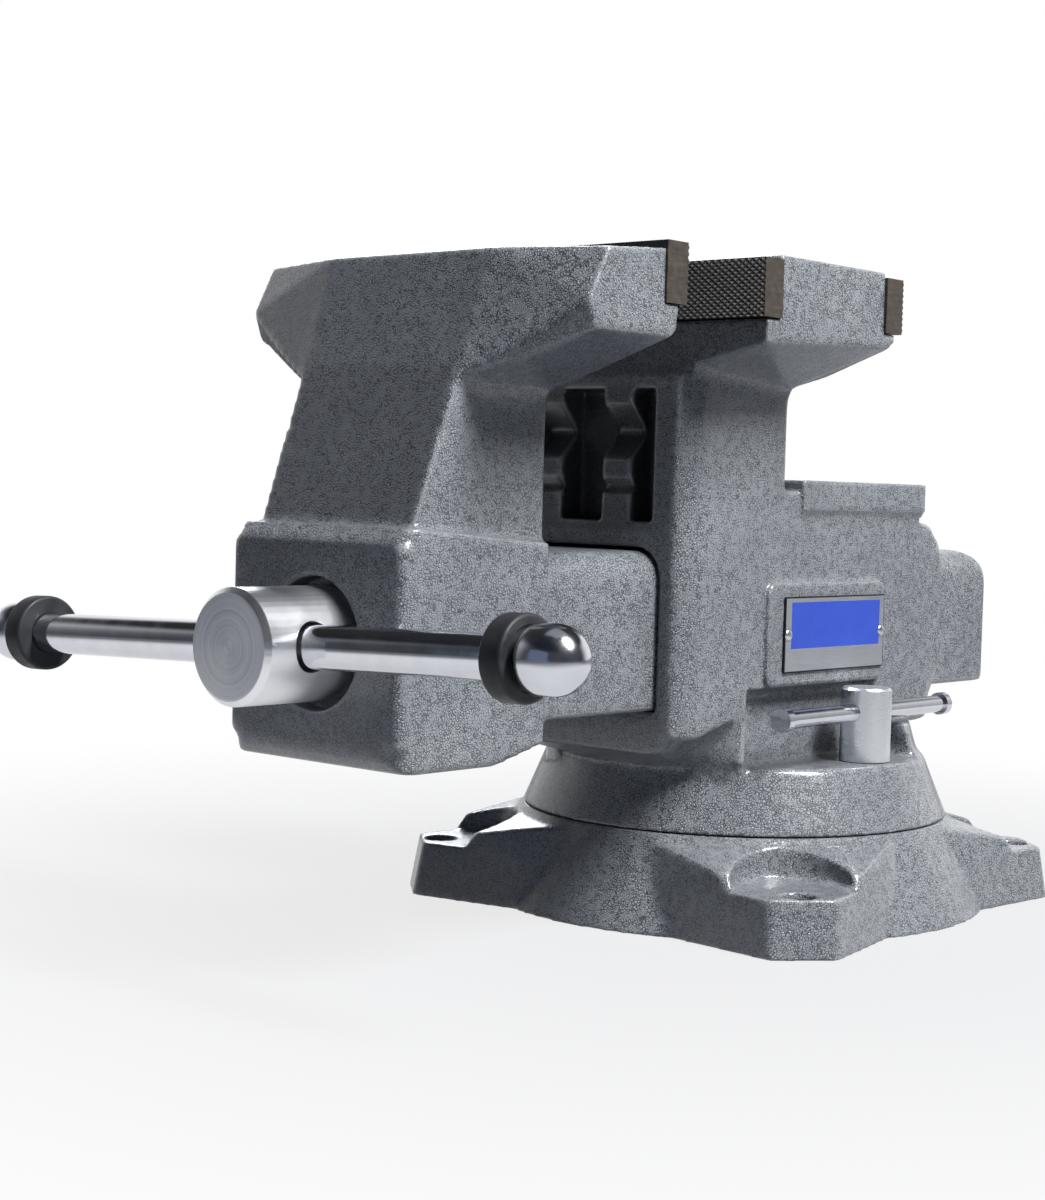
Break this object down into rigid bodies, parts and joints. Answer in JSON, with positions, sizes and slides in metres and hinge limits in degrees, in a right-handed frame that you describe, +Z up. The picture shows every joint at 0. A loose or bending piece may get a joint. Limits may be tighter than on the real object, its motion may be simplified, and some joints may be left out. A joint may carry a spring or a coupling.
{
  "type": "bench vise",
  "caption": "Reversible bench vise: cast body with fixed jaw, pipe jaws and anvil on a locking swivel base, and a screw-driven movable jaw with a sliding bar handle.",
  "frame": {"origin": "centre of the swivel base on its underside, where the swivel axis meets the bench", "axes": "+Z up, -Y to the spindle head and handle, +Y to the anvil end, +X to the side with the nameplate"},
  "size_m": [0.2878, 0.4095, 0.2519],
  "materials": {
    "hammertone_paint": "gloss grey hammertone enamel with darker veins",
    "black_oxide_steel": "black oxide, hatched clamping face, ground ends",
    "black_oxide_screw": "black oxide, smooth",
    "machined_steel": "turned, fine rings",
    "bronze": "machined",
    "ductile_iron": "as cast, oiled",
    "zinc_steel": "zinc plated",
    "chrome": "bright plated",
    "black_rubber": "matt moulded",
    "printed_aluminium": "bare silver edge round a blue printed field",
    "bare_aluminium": "plain domed heads"
  },
  "bodies": {
    "base": {"swivel_base": "hammertone_paint"},
    "body": {"vise_body": "hammertone_paint", "front_jaw_insert": "black_oxide_steel", "rear_jaw_insert": "black_oxide_steel", "front_insert_screws": "black_oxide_screw", "rear_insert_screws": "black_oxide_screw", "main_nut": "ductile_iron", "nut_bolt": "zinc_steel", "pivot_bolt": "zinc_steel", "pivot_washer": "zinc_steel", "right_lock_nut": "zinc_steel", "left_lock_nut": "zinc_steel", "nameplate": "printed_aluminium", "nameplate_rivets": "bare_aluminium"},
    "jaw": {"movable_jaw": "hammertone_paint", "movable_jaw_insert": "black_oxide_steel", "movable_insert_screws": "black_oxide_screw", "thrust_washer": "bronze"},
    "screw": {"spindle": "machined_steel", "spindle_collar": "machined_steel", "collar_pin": "machined_steel"},
    "handle": {"handle_bar": "chrome", "left_handle_ball": "chrome", "right_handle_ball": "chrome", "left_rubber_ring": "black_rubber", "right_rubber_ring": "black_rubber"},
    "right_lock": {"right_lock_screw": "machined_steel"},
    "left_lock": {"left_lock_screw": "machined_steel"},
    "right_bar": {"right_lock_bar": "chrome"},
    "left_bar": {"left_lock_bar": "chrome"}
  },
  "joints": [
    {"name": "swivel", "type": "hinge", "parent": "base", "child": "body", "pos_m": [0, 0, 0.0368], "axis": [0, 0, 1], "continuous": true},
    {"name": "jaw_slide", "type": "slide", "parent": "body", "child": "jaw", "axis": [0, 1, 0], "range_m": [-0.1212, 0.0435]},
    {"name": "spindle_turn", "type": "hinge", "parent": "jaw", "child": "screw", "pos_m": [0, -0.2, 0.1124], "axis": [0, 1, 0], "range_deg": [-8592, 3084]},
    {"name": "handle_slide", "type": "slide", "parent": "screw", "child": "handle", "axis": [0.9995, 0, 0.0332], "range_m": [-0.0833, 0.1041]},
    {"name": "right_lock_turn", "type": "hinge", "parent": "body", "child": "right_lock", "pos_m": [0.064, 0, 0.0812], "axis": [0, 0, 1], "range_deg": [-4.5, 4.5]},
    {"name": "left_lock_turn", "type": "hinge", "parent": "body", "child": "left_lock", "pos_m": [-0.064, 0, 0.0812], "axis": [0, 0, 1], "range_deg": [-4.5, 4.5]},
    {"name": "right_bar_slide", "type": "slide", "parent": "right_lock", "child": "right_bar", "axis": [0, 1, 0], "range_m": [-0.04, 0.04]},
    {"name": "left_bar_slide", "type": "slide", "parent": "left_lock", "child": "left_bar", "axis": [0, 1, 0], "range_m": [-0.04, 0.04]}
  ],
  "couplings": [
    {"joint": "spindle_turn", "follows": "jaw_slide", "rad_per_m": 1236.8}
  ]
}
